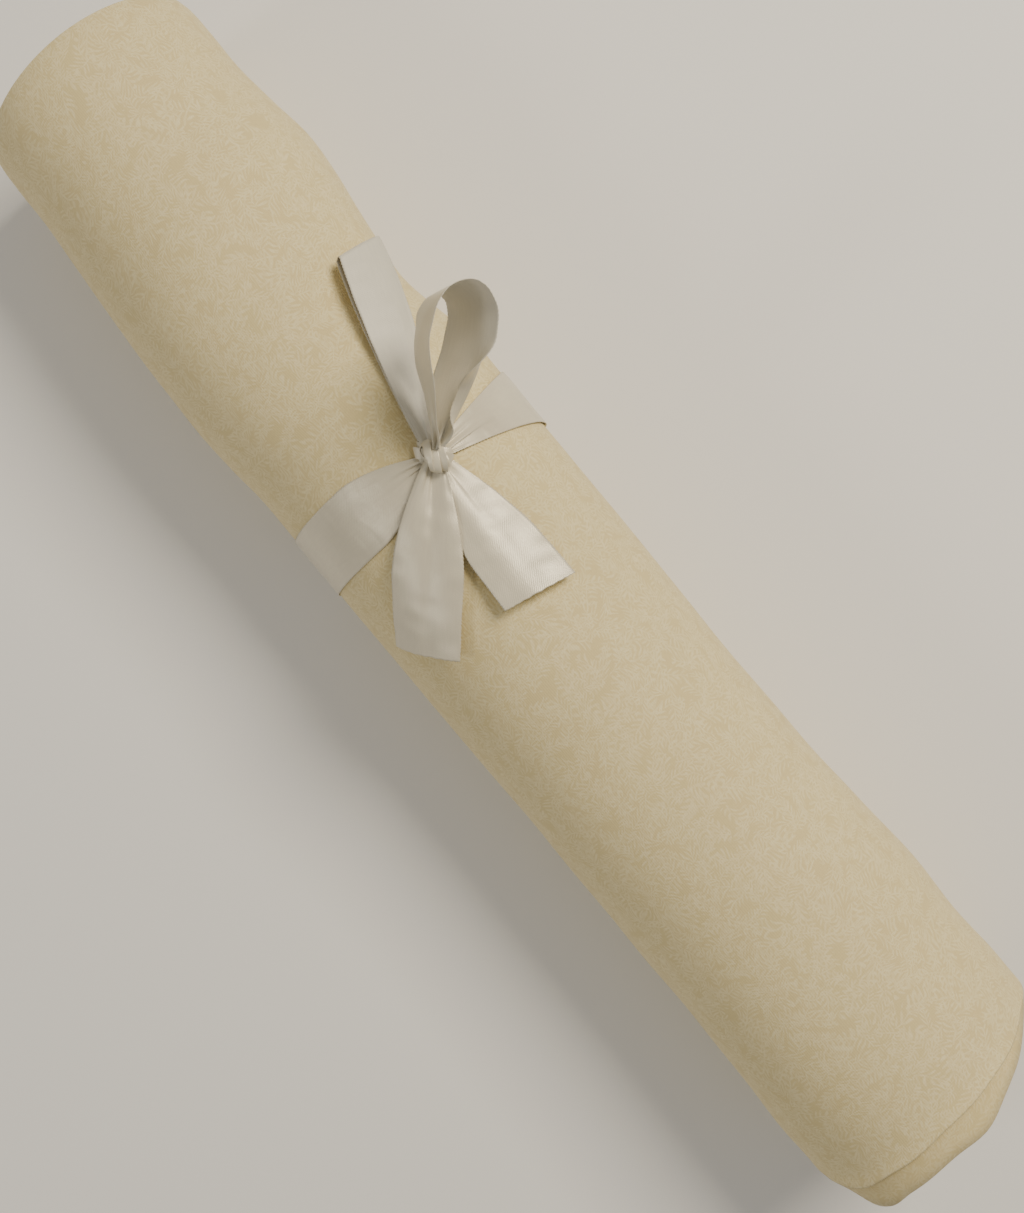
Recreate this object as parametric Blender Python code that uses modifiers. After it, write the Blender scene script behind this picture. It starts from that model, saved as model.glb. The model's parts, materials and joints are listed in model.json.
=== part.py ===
"""Fabric bolt: a soft roll of doubled quilting cotton, tied round with a satin ribbon bow.

The roll lies along X and rests on z = 0. The cloth was folded in half along its length, so each
turn is two plies: the fold is at the -X end and the two selvages are at the +X end. +Z is up and
the bow stands on top, a little towards +Y.
"""
import math

import bmesh
import bpy
from mathutils import Matrix, Vector

COLLECTION = "fabric_bolt"
TURN = math.tau

# ---- the roll of cloth, metres and radians -------------------------------------------------
ROLL_LENGTH = 0.560            # half the width of 112 cm cotton
ROLL_RADIUS = 0.0555           # over the outer ply, along the stretch that the tie can slide on
CLOTH_PLY = 0.00045            # one thickness of quilting cotton
SEAT_GAP = 0.0003              # clearance between neighbouring pieces
REST_SAG = 0.0010              # how far its own weight lowers the axis of the roll
SELVAGE_STEP = 0.012           # the outer ply ends this much short of the under ply
FREE_EDGE_ANGLE = math.radians(234.0)   # cut end of the cloth, from +Z turning towards +Y
FREE_EDGE_SLIT = 0.0010

# how the firmness of the roll varies: change of radius at stations from each end
FOLD_END_NECK = -0.0020
FOLD_END_NECK_REACH = 0.035
FOLD_END_SHOULDER = 0.0010
FOLD_END_SHOULDER_AT = 0.080
FOLD_END_SHOULDER_REACH = 0.115
SELVAGE_SHOULDER = 0.0017
SELVAGE_SHOULDER_AT = 0.110
SELVAGE_SHOULDER_REACH = 0.135
SELVAGE_FLARE = 0.0027
SELVAGE_FLARE_AT = 0.045
SELVAGE_END_FLARE = 0.0023

# ---- the ribbon ---------------------------------------------------------------------------
RIBBON_WIDTH = 0.0285
RIBBON_THICKNESS = 0.0004
TIE_FROM_FOLD_END = 0.219      # centre line of the tie
TIE_TRAVEL_BACK = 0.020        # how far the tie slides towards the fold end
TIE_TRAVEL_ON = 0.130          # and towards the selvage end
TIE_RISE_RAMP = 0.015
FLOOR_GAP = 0.0001             # between the band and what the roll rests on
KNOT_ANGLE = math.radians(10.0)
KNOT_RADIUS = 0.0048
HALF_KNOT_HEIGHT = 0.0038
KNOT_WRAP_HEIGHT = 0.0050
KNOT_CLEARANCE = 0.0008        # from the knot to where the band, loops and tails start
GATHERED_WIDTH = 0.0085        # width of the ribbon where the knot gathers it
BAND_SPREAD_NEAR = 0.026       # arc over which the band opens to its full width, -Y side
BAND_SPREAD_FAR = 0.070        # the same on the +Y side, where it is pulled harder
TAIL_SPREAD = 0.035            # the same along the tails and loops
STRIP_GAP = 0.00035            # between the band and the lowest strip that crosses it
STRIP_STACK_GAP = 0.0009       # between two strips that lie on each other

FLAT_LOOP_HEADING = math.radians(156.8)   # in the unrolled surface, from +X towards +Y
FLAT_LOOP_LENGTH = 0.086
FLAT_LOOP_SPREAD = 0.082
FLAT_LOOP_DEPTH = 0.0050       # height between its two strands at the far fold
FLAT_LOOP_SKEW = math.radians(-23.2)      # the fold lies square to the roll, not to the strip

TALL_LOOP_HEADING = math.radians(127.0)   # in plan, from +X towards +Y
TALL_LOOP_ELEVATION = math.radians(37.0)
TALL_LOOP_ROLL = math.radians(26.0)       # tilt of the strip about the loop's own length
TALL_LOOP_TWIST = math.radians(50.0)      # from its lower strand to its upper strand
TALL_LOOP_LENGTH = 0.063
TALL_LOOP_SPREAD = 0.045
TALL_LOOP_OPENING = 0.030
TALL_LOOP_TUCK = 0.0006        # its base starts this far inside the wrap's radius, above it

LOWER_TAIL_HEADING = math.radians(-1.5)
LOWER_TAIL_LENGTH = 0.060
LOWER_TAIL_SLANT = math.radians(10.0)
LOWER_TAIL_LIFT = 0.0045       # rise of its end off the cloth
UPPER_TAIL_HEADING = math.radians(-41.7)
UPPER_TAIL_LENGTH = 0.070
UPPER_TAIL_SLANT = math.radians(5.0)
UPPER_TAIL_LIFT = 0.0030

# ---- fineness of the faceted solids ----------------------------------------------------------
FACETS_ROUND_ROLL = 48
RAMP_RINGS = 3                 # rings on each ramp beside the tie's stretch
SWELL_STEP = 0.0008            # largest change of radius between two rings
STEPS_ALONG_STRIP = 22
STEPS_ACROSS_STRIP = 4

COTTON_COLOUR = (0.62, 0.54, 0.40, 1.0)
COTTON_UNDER_COLOUR = (0.56, 0.48, 0.35, 1.0)
SATIN_COLOUR = (0.56, 0.54, 0.50, 1.0)
SATIN_BACK_COLOUR = (0.46, 0.43, 0.38, 1.0)

# ---- places worked out from the sizes ---------------------------------------------------------
HALF_LENGTH = ROLL_LENGTH / 2.0
AXIS_HEIGHT = ROLL_RADIUS - REST_SAG
TIE_X = TIE_FROM_FOLD_END - HALF_LENGTH
KNOT_ARC = KNOT_ANGLE * ROLL_RADIUS
TIE_RISE = RIBBON_THICKNESS + SEAT_GAP + FLOOR_GAP
KNOT_REACH = KNOT_RADIUS + KNOT_CLEARANCE
TALL_LOOP_START = KNOT_RADIUS - TALL_LOOP_TUCK
STRIP_HEIGHT = SEAT_GAP + RIBBON_THICKNESS + STRIP_GAP + RIBBON_THICKNESS / 2.0
STRIP_STACK = STRIP_STACK_GAP + RIBBON_THICKNESS
PLY_PITCH = CLOTH_PLY + SEAT_GAP
FACET_ANGLE = TURN / FACETS_ROUND_ROLL


def smooth(t):
    """Ease from 0 to 1 with level ends."""
    t = min(max(t, 0.0), 1.0)
    return t * t * (3.0 - 2.0 * t)


def swell_stations():
    """Stations along X with the change of the roll's radius at each, from fold end to selvages."""
    return [
        (-HALF_LENGTH, FOLD_END_NECK),
        (-HALF_LENGTH + FOLD_END_NECK_REACH, FOLD_END_NECK),
        (-HALF_LENGTH + FOLD_END_SHOULDER_AT, FOLD_END_SHOULDER),
        (-HALF_LENGTH + FOLD_END_SHOULDER_REACH, 0.0),
        (HALF_LENGTH - SELVAGE_SHOULDER_REACH, 0.0),
        (HALF_LENGTH - SELVAGE_SHOULDER_AT, SELVAGE_SHOULDER),
        (HALF_LENGTH - SELVAGE_FLARE_AT, SELVAGE_FLARE),
        (HALF_LENGTH, SELVAGE_END_FLARE),
    ]


def swell(x):
    """Change of radius at x: straight between the stations."""
    stations = swell_stations()
    for (x0, r0), (x1, r1) in zip(stations, stations[1:]):
        if x <= x1:
            return r0 + (r1 - r0) * max(x - x0, 0.0) / (x1 - x0)
    return stations[-1][1]


def tie_stretch():
    """First and last x that the band covers as the tie slides."""
    half = RIBBON_WIDTH / 2.0 + SEAT_GAP
    return TIE_X - TIE_TRAVEL_BACK - half, TIE_X + TIE_TRAVEL_ON + half


def floor_rise(x):
    """Height of the roll's flat underside: it clears the ribbon along the tie's stretch."""
    first, last = tie_stretch()
    into = smooth((x - first + TIE_RISE_RAMP) / TIE_RISE_RAMP)
    out = smooth((last + TIE_RISE_RAMP - x) / TIE_RISE_RAMP)
    return TIE_RISE * min(into, out)


def roll_point(x, angle, inset):
    """Point of the roll's outline, inset below its surface (a negative inset stands proud)."""
    radius = ROLL_RADIUS + swell(x) - inset
    y = radius * math.sin(angle)
    z = AXIS_HEIGHT + radius * math.cos(angle)
    return Vector((x, y, max(z, floor_rise(x) + inset)))


def over_roll(x, arc, height):
    """Point at x, at an arc round the roll from its top line towards +Y, and a height over it."""
    angle = arc / ROLL_RADIUS
    radius = ROLL_RADIUS + height
    return Vector((x, radius * math.sin(angle), AXIS_HEIGHT + radius * math.cos(angle)))


def roll_stations(first, last):
    """x of each ring of the roll between two ends: swell stations and the tie's ramps."""
    start, end = tie_stretch()
    part_ramp = TIE_RISE_RAMP / RAMP_RINGS
    inner = [start - part_ramp * n for n in range(RAMP_RINGS + 1)]
    inner += [end + part_ramp * n for n in range(RAMP_RINGS + 1)]
    stations = swell_stations()
    for (x0, r0), (x1, r1) in zip(stations, stations[1:]):
        steps = 1 + math.ceil(abs(r1 - r0) / SWELL_STEP)
        inner += [x0 + (x1 - x0) * n / steps for n in range(steps)]
    return [first] + sorted(x for x in inner if first < x < last) + [last]


def ring_angles(first, last):
    """Angles of the roll's facets between two angles, with both ends."""
    start = math.floor(first / FACET_ANGLE) + 1
    stop = math.ceil(last / FACET_ANGLE)
    margin = FACET_ANGLE / 8.0
    inner = [n * FACET_ANGLE for n in range(start, stop)]
    return [first] + [a for a in inner if first + margin < a < last - margin] + [last]


def satin_or_cotton(name, colour, roughness, sheen):
    """Principled cloth material."""
    material = bpy.data.materials.get(name) or bpy.data.materials.new(name)
    material.use_nodes = True
    shader = material.node_tree.nodes["Principled BSDF"]
    shader.inputs["Base Color"].default_value = colour
    shader.inputs["Roughness"].default_value = roughness
    shader.inputs["Metallic"].default_value = 0.0
    shader.inputs["Sheen Weight"].default_value = sheen
    material.diffuse_color = colour
    return material


def new_part(name, bm, material, smooth_angle=math.radians(40.0)):
    """Object from a bmesh, in the part's collection."""
    mesh = bpy.data.meshes.new(name)
    bm.to_mesh(mesh)
    bm.free()
    part = bpy.data.objects.new(name, mesh)
    bpy.data.collections[COLLECTION].objects.link(part)
    mesh.materials.append(material)
    mesh.shade_smooth()
    mesh.set_sharp_from_angle(angle=smooth_angle)
    return part


def surface(name, columns, rows, place, material):
    """Open surface: a grid primitive whose vertices are placed by place(column, row)."""
    bm = bmesh.new()
    bmesh.ops.create_grid(bm, x_segments=len(columns) - 1, y_segments=len(rows) - 1, size=0.5)
    for vertex in bm.verts:
        column = columns[round((vertex.co.x + 0.5) * (len(columns) - 1))]
        row = rows[round((vertex.co.y + 0.5) * (len(rows) - 1))]
        vertex.co = place(column, row)
    return new_part(name, bm, material)


def thicken(part, thickness, offset):
    """Give a surface its thickness."""
    wall = part.modifiers.new("thickness", "SOLIDIFY")
    wall.thickness = thickness
    wall.offset = offset
    wall.use_even_offset = True


def cloth_turns(name, inset, material):
    """Solid of the turns of cloth inside the last one: a faceted cylinder with swelling rings."""
    stations = roll_stations(-HALF_LENGTH, HALF_LENGTH)
    bm = bmesh.new()
    bmesh.ops.create_cone(bm, cap_ends=True, segments=FACETS_ROUND_ROLL, radius1=1.0, radius2=1.0,
                          depth=1.0)
    long_edges = [e for e in bm.edges if abs(e.verts[0].co.z - e.verts[1].co.z) > 0.5]
    bmesh.ops.subdivide_edges(bm, edges=long_edges, cuts=len(stations) - 2, use_grid_fill=True)
    for vertex in bm.verts:
        x = stations[round((vertex.co.z + 0.5) * (len(stations) - 1))]
        angle = round(math.atan2(vertex.co.y, vertex.co.x) / FACET_ANGLE) * FACET_ANGLE
        vertex.co = roll_point(x, angle, inset)
    bmesh.ops.recalc_face_normals(bm, faces=bm.faces)
    return new_part(name, bm, material)


def cloth_ply(name, inset, last_x, material):
    """One ply of the last turn: a thin wall round the roll, slit at the cut end of the cloth."""
    stations = roll_stations(-HALF_LENGTH, last_x)
    half_slit = FREE_EDGE_SLIT / 2.0 / ROLL_RADIUS
    angles = ring_angles(FREE_EDGE_ANGLE + half_slit, FREE_EDGE_ANGLE + TURN - half_slit)
    ply = surface(name, stations, angles, lambda x, a: roll_point(x, a, inset), material)
    thicken(ply, CLOTH_PLY, -1.0)
    return ply


def spread_width(distance, reach):
    """Half width of the ribbon at a distance from the knot that gathers it."""
    full = RIBBON_WIDTH / 2.0
    gathered = GATHERED_WIDTH / 2.0
    return gathered + (full - gathered) * min(distance / reach, 1.0)


def ribbon_band(material):
    """The turn of ribbon round the roll, from one side of the knot to the other."""
    reach = KNOT_REACH / ROLL_RADIUS
    angles = ring_angles(KNOT_ANGLE + reach, KNOT_ANGLE + TURN - reach)
    across = [-1.0 + 2.0 * n / STEPS_ACROSS_STRIP for n in range(STEPS_ACROSS_STRIP + 1)]

    def place(side, angle):
        far = spread_width((angle - angles[0]) * ROLL_RADIUS, BAND_SPREAD_FAR)
        near = spread_width((angles[-1] - angle) * ROLL_RADIUS, BAND_SPREAD_NEAR)
        outside = roll_point(TIE_X, angle, -SEAT_GAP - RIBBON_THICKNESS)
        return outside + Vector((side * min(far, near), 0.0, 0.0))

    band = surface("ribbon_band", across, angles, place, material)
    thicken(band, RIBBON_THICKNESS, -1.0)
    return band


def knot_lump(name, radius, base, height, material):
    """One rounded tuck of the knot, standing on a base height over the cloth."""
    bm = bmesh.new()
    bmesh.ops.create_uvsphere(bm, u_segments=16, v_segments=10, radius=1.0)
    bmesh.ops.transform(bm, verts=bm.verts, matrix=Matrix.Diagonal((radius, radius, height / 2.0, 1.0)))
    lump = new_part(name, bm, material)
    lump.location = over_roll(TIE_X, KNOT_ARC, base + height / 2.0)
    lump.rotation_euler = (-KNOT_ANGLE, 0.0, 0.0)
    return lump


def laid_strip(name, heading, length, slant, spread, profile, material):
    """A strip of ribbon that lies over the roll from the knot.

    profile(t) gives the distance from the strip's base and the height over the cloth, for t from
    0 to 1. heading is its direction in the unrolled surface, and slant skews its far end.
    """
    ahead = Vector((math.cos(heading), math.sin(heading)))
    aside = Vector((-math.sin(heading), math.cos(heading)))
    start = Vector((TIE_X, KNOT_ARC)) + ahead * KNOT_REACH
    steps = [n / STEPS_ALONG_STRIP for n in range(STEPS_ALONG_STRIP + 1)]
    across = [-1.0 + 2.0 * n / STEPS_ACROSS_STRIP for n in range(STEPS_ACROSS_STRIP + 1)]

    def place(t, side):
        distance, height = profile(t)
        offset = side * spread_width(distance, spread)
        stretched = distance * (1.0 + offset * math.tan(slant) / length)
        spot = start + ahead * stretched + aside * offset
        return over_roll(spot.x, spot.y, height)

    strip = surface(name, steps, across, place, material)
    thicken(strip, RIBBON_THICKNESS, 0.0)
    return strip


def tail(name, heading, length, slant, base, lift, material):
    """A loose end of the ribbon: it follows the cloth and lifts off it towards its cut end."""
    def profile(t):
        return length * t, base + lift * t * t
    return laid_strip(name, heading, length, slant, TAIL_SPREAD, profile, material)


def flat_loop(material):
    """The loop that lies on the roll: out along the cloth, round a fold and back on top."""
    bend = FLAT_LOOP_DEPTH / 2.0
    straight = FLAT_LOOP_LENGTH - bend
    turn_from = 0.42
    turn_to = 1.0 - turn_from

    def profile(t):
        if t <= turn_from:
            return straight * t / turn_from, STRIP_HEIGHT
        if t < turn_to:
            swing = math.pi * (t - turn_from) / (turn_to - turn_from)
            return straight + bend * math.sin(swing), STRIP_HEIGHT + bend * (1.0 - math.cos(swing))
        back = straight * (1.0 - t) / turn_from
        depth = STRIP_STACK + (FLAT_LOOP_DEPTH - STRIP_STACK) * smooth(back / straight)
        return back, STRIP_HEIGHT + depth

    return laid_strip("ribbon_flat_loop", FLAT_LOOP_HEADING, FLAT_LOOP_LENGTH, FLAT_LOOP_SKEW,
                      FLAT_LOOP_SPREAD, profile, material)


def tall_loop_axes():
    """Directions of the standing loop: along it, across its strip, and from strand to strand."""
    level = math.cos(TALL_LOOP_ELEVATION)
    along = Vector((level * math.cos(TALL_LOOP_HEADING), level * math.sin(TALL_LOOP_HEADING),
                    math.sin(TALL_LOOP_ELEVATION)))
    flat = along.cross(Vector((0.0, 0.0, 1.0))).normalized()
    across = Matrix.Rotation(-TALL_LOOP_ROLL, 3, along) @ flat
    return along, across, across.cross(along)


def tall_loop(material):
    """The standing loop: a teardrop of ribbon that leans over the +Y side of the roll."""
    along, across, apart = tall_loop_axes()
    heart = over_roll(TIE_X, KNOT_ARC, SEAT_GAP + HALF_KNOT_HEIGHT + SEAT_GAP + KNOT_WRAP_HEIGHT / 2.0)
    base = heart + along * TALL_LOOP_START
    closing = math.radians(24.0)
    steps = [closing + (TURN - 2.0 * closing) * n / (STEPS_ALONG_STRIP + 6)
             for n in range(STEPS_ALONG_STRIP + 7)]
    sides = [-1.0 + 2.0 * n / STEPS_ACROSS_STRIP for n in range(STEPS_ACROSS_STRIP + 1)]
    near = (1.0 - math.cos(closing)) / 2.0
    twist_from = 0.3

    def place(t, side):
        reach = ((1.0 - math.cos(t)) / 2.0 - near) / (1.0 - near) * TALL_LOOP_LENGTH
        gap = TALL_LOOP_OPENING * 0.65 * math.sin(t) * math.sin(t / 2.0)
        half = spread_width(reach, TALL_LOOP_SPREAD)
        twist = TALL_LOOP_TWIST * smooth((t / TURN - twist_from) / (1.0 - 2.0 * twist_from))
        width = across * math.cos(twist) + apart * math.sin(twist)
        return base + along * reach - apart * gap + width * (side * half)

    loop = surface("ribbon_tall_loop", steps, sides, place, material)
    thicken(loop, RIBBON_THICKNESS, 0.0)
    return loop


def clear_scene():
    """Remove whatever the file holds and make the collections."""
    for thing in list(bpy.data.objects):
        bpy.data.objects.remove(thing, do_unlink=True)
    collection = bpy.data.collections.new(COLLECTION)
    bpy.context.scene.collection.children.link(collection)


def build():
    """Make every piece of the bolt."""
    clear_scene()
    cotton = satin_or_cotton("cotton_print", COTTON_COLOUR, 0.85, 0.25)
    cotton_under = satin_or_cotton("cotton_under", COTTON_UNDER_COLOUR, 0.9, 0.25)
    satin = satin_or_cotton("satin_face", SATIN_COLOUR, 0.38, 0.1)
    satin_back = satin_or_cotton("satin_back", SATIN_BACK_COLOUR, 0.6, 0.1)

    cloth_turns("cloth_inner_turns", 2.0 * PLY_PITCH, cotton_under)
    cloth_ply("cloth_under_ply", PLY_PITCH, HALF_LENGTH, cotton_under)
    cloth_ply("cloth_outer_ply", 0.0, HALF_LENGTH - SELVAGE_STEP, cotton)

    ribbon_band(satin)
    wrap_base = SEAT_GAP + HALF_KNOT_HEIGHT + SEAT_GAP
    knot_lump("ribbon_half_knot", KNOT_RADIUS, SEAT_GAP, HALF_KNOT_HEIGHT, satin)
    knot_lump("ribbon_knot_wrap", KNOT_RADIUS, wrap_base, KNOT_WRAP_HEIGHT, satin)
    flat_loop(satin_back)
    tall_loop(satin_back)
    tail("ribbon_lower_tail", LOWER_TAIL_HEADING, LOWER_TAIL_LENGTH, LOWER_TAIL_SLANT, STRIP_HEIGHT,
         LOWER_TAIL_LIFT, satin)
    tail("ribbon_upper_tail", UPPER_TAIL_HEADING, UPPER_TAIL_LENGTH, UPPER_TAIL_SLANT,
         STRIP_HEIGHT + STRIP_STACK, UPPER_TAIL_LIFT, satin)


build()
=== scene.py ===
# %% [markdown]
# # A roll of quilting cotton, tied with a satin ribbon
# The object is two soft things: some ten metres of cream cotton, folded in half along its length
# and rolled up, and one length of satin ribbon tied round it in a bow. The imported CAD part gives
# the sizes and the way each piece moves. This script gives the looks: each stretch of cloth or
# ribbon is a thin closed sheet worked out from two parameters, in the same place as its solid.

# %% The fixed frame
import json
import math

import bpy
import numpy as np
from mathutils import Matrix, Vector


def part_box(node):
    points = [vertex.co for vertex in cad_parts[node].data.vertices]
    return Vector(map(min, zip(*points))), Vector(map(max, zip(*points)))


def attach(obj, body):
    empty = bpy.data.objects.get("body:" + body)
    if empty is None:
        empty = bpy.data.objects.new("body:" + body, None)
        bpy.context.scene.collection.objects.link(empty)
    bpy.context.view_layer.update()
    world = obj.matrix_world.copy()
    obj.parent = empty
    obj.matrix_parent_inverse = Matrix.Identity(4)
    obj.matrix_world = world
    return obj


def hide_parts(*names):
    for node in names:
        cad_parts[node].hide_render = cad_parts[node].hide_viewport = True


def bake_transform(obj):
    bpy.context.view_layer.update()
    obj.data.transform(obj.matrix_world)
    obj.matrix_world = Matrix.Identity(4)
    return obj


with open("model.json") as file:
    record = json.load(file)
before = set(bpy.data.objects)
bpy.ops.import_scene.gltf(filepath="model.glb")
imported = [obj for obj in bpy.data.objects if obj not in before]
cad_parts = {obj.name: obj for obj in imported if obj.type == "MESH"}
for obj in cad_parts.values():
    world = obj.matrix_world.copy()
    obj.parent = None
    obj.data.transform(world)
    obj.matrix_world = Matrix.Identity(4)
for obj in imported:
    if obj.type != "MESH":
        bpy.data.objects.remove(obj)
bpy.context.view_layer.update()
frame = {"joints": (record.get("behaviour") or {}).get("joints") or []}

TURN = math.tau
MM = 0.001

# %% [markdown]
# ## Sizes
# Every place comes from the frame. The roll's axis and radius are read from the ribbon band, which
# lies 0.7 mm proud of the cloth all round it, and the knot's place from its own two solids.

# %% Sizes read from the frame
BAND_PROUD = 0.7 * MM
band_low, band_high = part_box("ribbon_band")
inner_low, inner_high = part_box("cloth_inner_turns")
outer_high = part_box("cloth_outer_ply")[1]
wrap_low, wrap_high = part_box("ribbon_knot_wrap")

ROLL_RADIUS = band_high.y - BAND_PROUD
AXIS_HEIGHT = band_high.z - BAND_PROUD - ROLL_RADIUS
FOLD_END, SELVAGE_END, OUTER_RIM = inner_low.x, inner_high.x, outer_high.x
TIE_X = (band_low.x + band_high.x) / 2.0
KNOT = np.array((wrap_low + wrap_high) / 2.0)
KNOT_ANGLE = math.atan2(KNOT[1], KNOT[2] - AXIS_HEIGHT)
KNOT_ARC = KNOT_ANGLE * ROLL_RADIUS
RIBBON_WIDTH = band_high.x - band_low.x
TIE_TRAVEL = next(j["range_m"] for j in frame["joints"] if j["name"] == "tie_slide")
print(f"roll radius {ROLL_RADIUS:.4f}, axis {AXIS_HEIGHT:.4f}, ribbon {RIBBON_WIDTH:.4f} m wide")

# %% [markdown]
# ## Camera, floor and light
# The bolt lies on a pale table and is seen from straight above, with its length on a slant across
# the frame. One large soft light stands over the +Y side, a weak one fills the other side, and a
# dim even sky keeps the shadows open.

# %% Camera
CAMERA_RISE = 0.675            # above the roll's axis
CAMERA_TURN = math.radians(50.4)
CAMERA_AIM = (2.2 * MM, -3.5 * MM)
CAMERA_LENS = 48.08

camera = bpy.data.objects.new("camera", bpy.data.cameras.new("camera"))
bpy.context.scene.collection.objects.link(camera)
camera.location = (*CAMERA_AIM, AXIS_HEIGHT + CAMERA_RISE)
camera.rotation_euler = (0.0, 0.0, CAMERA_TURN)
camera.data.lens = CAMERA_LENS
camera.data.clip_start = 0.01
bpy.context.scene.camera = camera
print("camera height", round(camera.location.z, 3))


# %% A node with its settings and links
def node(tree, kind, inputs=(), **settings):
    """Add one node. Settings are set by name, and inputs are values or other nodes' sockets."""
    made = tree.nodes.new("ShaderNode" + kind)
    for name, value in settings.items():
        setattr(made, name, value)
    for key, value in dict(inputs).items():
        if isinstance(value, bpy.types.NodeSocket):
            tree.links.new(value, made.inputs[key])
        else:
            made.inputs[key].default_value = value
    return made


def maths(tree, operation, *values):
    """Output of one Math node over numbers and sockets."""
    return node(tree, "Math", dict(enumerate(values)), operation=operation).outputs[0]


def vector_maths(tree, operation, first, second):
    """Output of one Vector Math node. For SCALE the second value is the factor."""
    key = "Scale" if operation == "SCALE" else 1
    return node(tree, "VectorMath", {0: first, key: second}, operation=operation).outputs[0]


def linear(hexa):
    """sRGB hex colour as linear light: each channel over 12.92 when dark, a 2.4 power when not."""
    srgb = np.array([int(hexa[i:i + 2], 16) for i in (1, 3, 5)]) / 255.0
    light = np.where(srgb <= 0.04045, srgb / 12.92, ((srgb + 0.055) / 1.055) ** 2.4)
    return (*light.tolist(), 1.0)


def new_material(name):
    """Empty material with its Principled shader: (material, tree, shader)."""
    material = bpy.data.materials.new(name)
    material.use_nodes = True
    return material, material.node_tree, material.node_tree.nodes["Principled BSDF"]


def set_inputs(shader, values):
    """Plain values of a shader's inputs, by name."""
    for name, value in values.items():
        shader.inputs[name].default_value = value


def add_bump(tree, shader, height, strength, distance):
    """Fine relief from a height, its distance in metres."""
    bump = node(tree, "Bump", {"Height": height, "Strength": strength, "Distance": distance})
    tree.links.new(bump.outputs["Normal"], shader.inputs["Normal"])


# %% Floor, sky and lights
table, tree, shader = new_material("painted_table_top")
set_inputs(shader, {"Base Color": linear("#F3F2EF"), "Roughness": 0.85})
grain = node(tree, "TexNoise", {"Scale": 60.0, "Detail": 3.0})
add_bump(tree, shader, grain.outputs["Fac"], 0.05, 0.0005)

bpy.ops.mesh.primitive_plane_add(size=8.0, location=(0.0, 0.0, 0.0))
floor = bpy.context.object
floor.name = "table_top"
floor.data.materials.append(table)


def soft_light(name, place, size, watts, colour):
    """Square area light that points at the bolt."""
    data = bpy.data.lights.new(name, "AREA")
    data.size = size
    data.energy = watts
    data.color = linear(colour)[:3]
    light = bpy.data.objects.new(name, data)
    light.location = place
    light.rotation_euler = (-light.location).to_track_quat("-Z", "Y").to_euler()
    bpy.context.scene.collection.objects.link(light)


soft_light("window_light", (-0.12, 0.97, 1.25), 0.6, 22.5, "#FFF3DE")
soft_light("fill_light", (-0.35, -0.95, 0.85), 0.25, 2.2, "#FFF9F0")
world = bpy.data.worlds.new("sky")
bpy.context.scene.world = world
world.use_nodes = True
set_inputs(world.node_tree.nodes["Background"], {"Color": linear("#F7F3EC"), "Strength": 0.33})
print("floor, two soft lights and a dim sky")

# %% [markdown]
# ## Finishes
# Quilting cotton is a plain weave, matt, with a tonal print: dense little leafy sprigs, a shade
# paler than the cream ground. The print is made from cells. Each cell turns its own coordinates by
# a chance angle and draws one stem in them, with pairs of leaves leaning along it. Two layers of
# cells overlap, and a slow noise bends them, so no sprig is straight.


# %% What cotton and satin share
def place_on_cloth(tree):
    """Place on the cloth's own map, in millimetres."""
    cloth_map = node(tree, "UVMap", uv_map="cloth_map")
    return vector_maths(tree, "SCALE", cloth_map.outputs["UV"], 1000.0)


def flat_noise(tree, place, scale, detail):
    """Noise over a place on the cloth, with its Fac and Color outputs."""
    inputs = {"Vector": place, "Scale": scale, "Detail": detail}
    return node(tree, "TexNoise", inputs, noise_dimensions="2D").outputs


def shade_colour(tree, shader, colour, first, second):
    """Base colour: the given one, times 0.9 and a tenth of each of two noises."""
    shade = maths(tree, "MULTIPLY_ADD", first, 0.10, 0.90)
    shade = maths(tree, "MULTIPLY_ADD", second, 0.10, shade)
    tree.links.new(vector_maths(tree, "SCALE", colour, shade), shader.inputs["Base Color"])


# %% The printed sprigs
LEAF_PITCH = 2.1               # mm along the stem
LEAF_REACH = 3.3               # mm out from the stem
LEAF_HALF_WIDTH = 0.48         # mm
LEAF_SLOPE = 0.8               # along the stem over out from it
SPRIG_CELL = 8.5               # mm


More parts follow.
